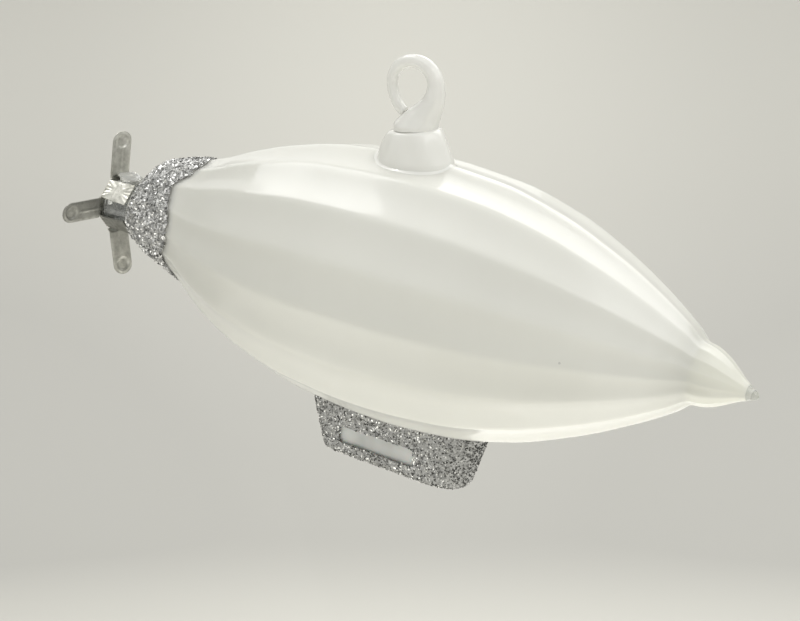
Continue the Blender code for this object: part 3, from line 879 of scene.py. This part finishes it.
# Cabin
# A small blown box of frosted grey glass welded under the belly. Fine silver glitter covers it, apart
# from a long window left bare on each side.
CABIN_FLAKES = 10000
CABIN_FLAKE = (0.23, 0.45)
CABIN_FLAKE_TILT = 56.0
CABIN_FLAKE_THICKNESS = 0.04
COAT_OUTSIDE_FROM = 0.45
BOW_SHADE = 0.8
BOW_SHADE_SPAN = (5.0, 28.0)


def frosted_window():
    made, tree, shader, _ = new_material("frosted_cabin_glass")
    set_shader(shader, Subsurface_Weight=0.2, Subsurface_Scale=0.004, Coat_Weight=0.3, Coat_Roughness=0.25)
    # The tones are given swapped, so the clouding's dark and light parts fall where the window lies in shade
    # and in light: painted shade on top of the mottling.
    use_group(
        tree, CLOUDY_GLASS, shader, Light=(0.38, 0.385, 0.37, 1), Dark=(0.615, 0.62, 0.6, 1),
        Cloud_Scale=60.0, Gloss_Low=0.3, Gloss_High=0.5, Ripple=0.1,
    )
    return made


def cabin_flake_places(count, seed):
    """Random places over the outside of the cabin's coat, found on its own faces."""
    rng = np.random.default_rng(seed)
    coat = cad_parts["cabin_glitter"].data
    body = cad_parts["cabin_body"].data
    core = BVHTree.FromPolygons([v.co for v in body.vertices], [p.vertices for p in body.polygons])
    coat.calc_loop_triangles()
    corners, weights = [], []
    for tri in coat.loop_triangles:
        a, b, c = (coat.vertices[i].co for i in tri.vertices)
        middle = (a + b + c) / 3.0
        away = core.find_nearest(middle)[3]
        if away > COAT_OUTSIDE_FROM * MM and tri.area > 0.0:
            corners.append((a, b, c, tri.normal.copy()))
            weights.append(tri.area)
    weights = np.array(weights)
    picks = rng.choice(len(corners), count, p=weights / weights.sum())
    places = []
    for pick in picks:
        a, b, c, normal = corners[pick]
        u, v = rng.uniform(0.0, 1.0, 2)
        if u + v > 1.0:
            u, v = 1.0 - u, 1.0 - v
        point = (a + (b - a) * u + (c - a) * v) / MM
        places.append((point, normal, 1.0 - BOW_SHADE * smoothstep(*BOW_SHADE_SPAN, point.x)))
    return places


def dress(node, made_of):
    """Give a solid that shows as it is its material."""
    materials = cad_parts[node].data.materials
    materials.clear()
    materials.append(made_of)


dress("cabin_body", frosted_window())
dress("cabin_glitter", glue_bed("cabin_glitter_glue", (0.46, 0.46, 0.45)))
fine_foil = foil("fine_silver_foil", (1.0, 1.0, 0.98), (0.06, 0.06, 0.055), 0.84)
scatter_flakes(
    "cabin_glitter_flakes", cabin_flake_places(CABIN_FLAKES, seed=21), CABIN_FLAKE, CABIN_FLAKE_TILT,
    CABIN_FLAKE_THICKNESS, fine_foil, seed=22, to_world=Matrix.Scale(MM, 4),
)


# Hanger dome
# A small blown bell of half-clear glass, hollow and a little oval, welded to the top rib while hot. Its
# foot spreads over the hull in a thin bright rim, and its sides keep the flats of the gas flame's work.
DOME_TOP = 5.25
DOME_FOOT_LONG = 9.5
DOME_FOOT_WIDE = 8.0
DOME_BULGE = 0.48
DOME_WALL = 0.9
HANGER_X = 0.9
JOINT_Z = -14.3
JOINT_TILT = 0.09
JOINT_GROOVE = 0.35
DOME_HEIGHT = 7.6
DOME_TUCK = 0.15
DOME_TUCK_HEIGHT = 1.2
DOME_CROWN = 1.2
DOME_SINK = 0.1
WELD_WIDTH = 1.0
WELD_HEIGHT = 0.22
WELD_SINK = 0.15
DOME_FLATS = 7
DOME_FLAT = 0.4
WORLD_MM = Matrix.Scale(MM, 4)


def hull_top(x, y, probe):
    """Height of the hull under a world point, in millimetres."""
    hit = probe.ray_cast(Vector((x, y, 0.0)) * MM, Vector((0.0, 0.0, -1.0)))
    return hit[0].z / MM


def make_dome():
    bm = bmesh.new()
    probe = BVHTree.FromObject(hull, bpy.context.evaluated_depsgraph_get())
    angles = turn_angles(112)

    def dome_ring(down, inset=0.0, groove=0.0, spread=0.0, weld=None):
        """A ring at a share of the way down. The weld is its height over the hull, if it lies on the hull."""
        ring = []
        for a in angles:
            swell = down**DOME_BULGE
            reach_long = DOME_TOP + (DOME_FOOT_LONG - DOME_TOP) * swell
            reach_wide = DOME_TOP + (DOME_FOOT_WIDE - DOME_TOP) * swell
            trim = -inset - groove + spread - DOME_FLAT * (0.5 - 0.5 * cos(DOME_FLATS * a)) * sin(pi * down)
            foot = hull_top(HANGER_X + DOME_FOOT_LONG * cos(a), DOME_FOOT_WIDE * sin(a), probe)
            z = JOINT_Z - DOME_HEIGHT * down - DOME_CROWN * inset * (1.0 - down)
            z += JOINT_TILT * DOME_TOP * cos(a) * (1.0 - down) ** 2
            near_foot = 1.0 - min(max((z - foot) / DOME_TUCK_HEIGHT, 0.0), 1.0)
            trim -= DOME_TUCK * near_foot**2
            x, y = HANGER_X + (reach_long + trim) * cos(a), (reach_wide + trim) * sin(a)
            if weld is not None:
                z = hull_top(x, y, probe) + weld
            elif inset == 0.0:
                z = max(z, hull_top(x, y, probe) + WELD_HEIGHT)
            else:
                z = max(z, hull_top(x, y, probe) - DOME_SINK)
            ring.append((x, y, z))
        return ring

    rings = [dome_ring(step / 24.0, groove=JOINT_GROOVE if step == 0 else 0.0) for step in range(24)]
    for past in (0.0, 0.25, 0.5, 0.75, 1.0):
        weld = WELD_HEIGHT * (1.0 - past**2) - WELD_SINK * past
        rings.append(dome_ring(1.0, spread=past * WELD_WIDTH, weld=weld))
    rings += [dome_ring(1.0 - step / 12.0, inset=DOME_WALL) for step in range(13)]
    loft(bm, rings)
    glass = clear_glass("dome_glass", (0.99, 0.985, 0.94), 0.1, 0.14, 0.98)
    return make_piece(bm, "welded_dome", glass, "hull", ["hanger_dome"], WORLD_MM)


make_dome()


# Hook loop
# A glass rod drawn from the top of the dome and bent round into a loop while soft. Its free end rests
# just clear of the foot, and its surface is satin with streaks drawn along the rod.
FOOT_RINGS = [
    (0.9, -14.3, 5.25, 0.0), (1.0, -13.4, 5.3, 2.0), (1.9, -12.2, 4.7, 10.0), (3.2, -10.7, 3.9, 18.0),
    (4.6, -9.0, 3.15, 20.0), (5.7, -7.2, 2.6, 14.0), (6.25, -5.4, 2.25, 5.0),
]
LOOP_CENTRE = (0.5, -3.9)
LOOP_REACH = 5.8
LOOP_RISE = 5.4
LOOP_FALL = 7.4
LOOP_END = radians(240.0)
ROD_START = 2.05
ROD_TOP = 1.6
ROD_END = 1.25
ROD_END_STEP = 0.22
DRAW_STREAK = 0.05


def loop_ring(x, z, radius, tilt, sides=40):
    centre = Vector((x, 0.0, z))
    side = Vector((cos(tilt), 0.0, -sin(tilt)))
    ring = []
    for a in turn_angles(sides):
        drawn = DRAW_STREAK * noise.noise((2.6 * cos(a), 2.6 * sin(a), 0.05 * x))
        swell = radius * (1.0 + drawn)
        ring.append(centre + side * (swell * cos(a)) + Vector((0.0, swell * sin(a), 0.0)))
    return ring


def make_loop():
    bm = bmesh.new()
    rings = []
    for step in range(len(FOOT_RINGS) * 5 - 4):
        t = step / 5.0
        x, z, radius, tilt = (
            along_outline([(i, ring[k]) for i, ring in enumerate(FOOT_RINGS)], t) for k in range(4)
        )
        rings.append(loop_ring(x, z, radius, radians(tilt)))
    rings[0] = loop_ring(HANGER_X, JOINT_Z + 0.12, DOME_TOP, -JOINT_TILT)
    rings.insert(0, loop_ring(HANGER_X, JOINT_Z - 0.02, DOME_TOP - JOINT_GROOVE, -JOINT_TILT))
    for t in stations(0.0, LOOP_END, radians(3.0)):
        height = LOOP_RISE if sin(t) >= 0.0 else LOOP_FALL
        x = LOOP_CENTRE[0] + LOOP_REACH * cos(t)
        z = LOOP_CENTRE[1] + height * sin(t)
        heading = atan2(-LOOP_REACH * sin(t), height * cos(t))
        rising = min(t / (pi / 2.0), 1.0)
        falling = min(max(t / (pi / 2.0) - 1.0, 0.0), 1.0)
        radius = ROD_START + (ROD_TOP - ROD_START) * rising + (ROD_END - ROD_TOP) * falling
        rings.append(loop_ring(x, z, radius, heading))
    onward = Vector((-LOOP_REACH * sin(LOOP_END), 0.0, LOOP_FALL * cos(LOOP_END))).normalized()
    for step in range(1, 6):
        turn = pi / 2.0 * step / 5.5
        x, z = x + onward.x * ROD_END_STEP * cos(turn), z + onward.z * ROD_END_STEP * cos(turn)
        rings.append(loop_ring(x, z, ROD_END * cos(turn) ** 0.6, heading))
    loft(bm, rings)
    glass = clear_glass("loop_glass", (0.99, 0.985, 0.945), 0.1, 0.19, 0.98)
    return make_piece(bm, "hook_loop", glass, "hull", ["hanger_loop"], WORLD_MM)


make_loop()


# Stage
# A pale floor that sweeps up into a pale wall behind the ornament, all in one sheet of paper. Its colour
# carries
# painted shade and painted light: a little darker near the ornament than at the wall, darker to both sides,
# and lighter again right in front.
FLOOR_Z = -0.19
SWEEP_FRONT = -1.6
SWEEP_BACK = 1.1
SWEEP_RADIUS = 0.5
SWEEP_STEPS = 24
WALL_TOP = 1.6
SWEEP_HALF_WIDTH = 2.2
CAMERA_AZIMUTH = radians(30.80)


def pale_paper():
    made, tree, shader, add = new_material("stage_paper")
    link = tree.links.new
    place = add("ShaderNodeTexCoord")
    cloud = add("ShaderNodeTexNoise", Scale=1.3, Detail=1.0)
    split = add("ShaderNodeSeparateXYZ")
    link(place.outputs["Object"], cloud.inputs["Vector"])
    link(place.outputs["Object"], split.inputs["Vector"])

    # Painted light: the paper grows lighter towards the wall, with a faint large cloud on top.
    rise = add("ShaderNodeMapRange", interpolation_type="SMOOTHSTEP")
    rise.inputs["From Min"].default_value = 0.15
    rise.inputs["From Max"].default_value = 1.0
    cloud_and_painted_rise = add("ShaderNodeMath", operation="MULTIPLY_ADD")
    cloud_and_painted_rise.inputs[1].default_value = 0.12
    link(split.outputs["Y"], rise.inputs["Value"])
    link(cloud.outputs["Fac"], cloud_and_painted_rise.inputs[0])
    link(rise.outputs["Result"], cloud_and_painted_rise.inputs[2])

    # Painted shade: the paper darkens to both sides.
    aside = add("ShaderNodeMath", operation="ABSOLUTE")
    falloff = add("ShaderNodeMapRange", interpolation_type="SMOOTHSTEP")
    falloff.inputs["From Max"].default_value = 0.2
    falloff.inputs["To Max"].default_value = 0.34
    dimmed = add("ShaderNodeMath", operation="SUBTRACT")
    link(split.outputs["X"], aside.inputs[0])
    link(aside.outputs[0], falloff.inputs["Value"])
    link(cloud_and_painted_rise.outputs[0], dimmed.inputs[0])
    link(falloff.outputs["Result"], dimmed.inputs[1])

    # Painted light: a lighter strip right in front of the ornament.
    close = add("ShaderNodeMapRange", interpolation_type="SMOOTHSTEP")
    close.inputs["From Min"].default_value = 0.1
    close.inputs["From Max"].default_value = 0.19
    close.inputs["To Min"].default_value = 0.75
    close.inputs["To Max"].default_value = 0.0
    lifted = add("ShaderNodeMath", operation="ADD")
    link(split.outputs["Y"], close.inputs["Value"])
    link(dimmed.outputs[0], lifted.inputs[0])
    link(close.outputs["Result"], lifted.inputs[1])

    tone = add("ShaderNodeMix", data_type="RGBA")
    tone.inputs[6].default_value = (0.46, 0.454, 0.428, 1)
    tone.inputs[7].default_value = (0.69, 0.68, 0.63, 1)
    link(lifted.outputs[0], tone.inputs["Factor"])
    link(tone.outputs[2], shader.inputs["Base Color"])
    shader.inputs["Roughness"].default_value = 0.9
    return made


def make_stage():
    line = [(SWEEP_FRONT, FLOOR_Z)]
    for i in range(SWEEP_STEPS + 1):
        t = pi / 2.0 * i / SWEEP_STEPS
        y = SWEEP_BACK - SWEEP_RADIUS + SWEEP_RADIUS * sin(t)
        line.append((y, FLOOR_Z + SWEEP_RADIUS * (1.0 - cos(t))))
    line.append((SWEEP_BACK, WALL_TOP))
    bm = bmesh.new()
    left = [bm.verts.new((-SWEEP_HALF_WIDTH, y, z)) for y, z in line]
    right = [bm.verts.new((SWEEP_HALF_WIDTH, y, z)) for y, z in line]
    for i in range(len(line) - 1):
        bm.faces.new((left[i], right[i], right[i + 1], left[i + 1]))
    mesh = bpy.data.meshes.new("stage_sweep")
    bm.to_mesh(mesh)
    bm.free()
    mesh.shade_smooth()
    mesh.materials.append(pale_paper())
    sweep = bpy.data.objects.new("stage_sweep", mesh)
    sweep.rotation_euler = (0.0, 0.0, CAMERA_AZIMUTH)
    bpy.context.scene.collection.objects.link(sweep)


make_stage()


# Light
# Soft lights overhead, to both sides and behind, all aimed at the ornament, with three bounce cards under
# its belly and a pale room round it.
WARM_LIGHT = (1.0, 0.99, 0.97)
WHITE_LIGHT = (1.0, 1.0, 0.99)
CARD_LIGHT = (1.0, 0.99, 0.95)
AIM = Vector((0.00009, -0.00566, -0.05695))


def area_light(name, place, size, power, colour):
    data = bpy.data.lights.new(name, "AREA")
    data.shape = "RECTANGLE"
    data.size, data.size_y = size
    data.energy = power
    data.color = colour
    lamp = bpy.data.objects.new(name, data)
    lamp.location = place
    lamp.rotation_mode = "QUATERNION"
    lamp.rotation_quaternion = (AIM - Vector(place)).to_track_quat("-Z", "Y")
    lamp.visible_camera = False
    bpy.context.scene.collection.objects.link(lamp)


def light_room():
    area_light("overhead_softbox", (0.0, -0.1, 0.85), (0.9, 0.7), 0.7, WARM_LIGHT)
    area_light("left_softbox", (-0.48, 0.13, 0.6), (0.34, 0.42), 1.34, WHITE_LIGHT)
    area_light("back_left_softbox", (-0.47, 0.56, 0.29), (0.72, 0.5), 0.66, WHITE_LIGHT)
    area_light("back_softbox", (0.07, 0.58, 0.46), (0.84, 0.42), 2.1, WHITE_LIGHT)
    area_light("right_softbox", (0.62, -0.02, 0.58), (0.6, 0.6), 1.7, WHITE_LIGHT)
    area_light("near_bounce_card", (0.02, -0.1, -0.178), (0.4, 0.3), 0.13, CARD_LIGHT)
    area_light("left_bounce_card", (-0.09, -0.11, -0.178), (0.22, 0.24), 0.1, CARD_LIGHT)
    area_light("under_bounce_card", (0.03, 0.02, -0.178), (0.5, 0.3), 0.285, CARD_LIGHT)
    room = bpy.data.worlds.new("pale_room")
    room.use_nodes = True
    walls = room.node_tree.nodes["Background"].inputs
    walls["Color"].default_value = (0.93, 0.93, 0.9, 1)
    walls["Strength"].default_value = 0.73
    bpy.context.scene.world = room
    bpy.context.scene.view_settings.view_transform = "Standard"


light_room()


# Camera
# One long lens from a little above, on the ornament's near side and turned a little towards its nose, aimed
# at the middle of the hull.
CAMERA_ELEVATION = radians(16.64)
CAMERA_DISTANCE = 0.601
CAMERA_LENS = 115.3


def place_camera():
    data = bpy.data.cameras.new("photo_view")
    data.lens = CAMERA_LENS
    data.clip_start, data.clip_end = 0.01, 20.0
    camera = bpy.data.objects.new("photo_view", data)
    level = cos(CAMERA_ELEVATION)
    back = Vector((sin(CAMERA_AZIMUTH) * level, -cos(CAMERA_AZIMUTH) * level, sin(CAMERA_ELEVATION)))
    camera.location = AIM + back * CAMERA_DISTANCE
    camera.rotation_mode = "QUATERNION"
    camera.rotation_quaternion = (-back).to_track_quat("-Z", "Y")
    bpy.context.scene.collection.objects.link(camera)
    bpy.context.scene.camera = camera


place_camera()
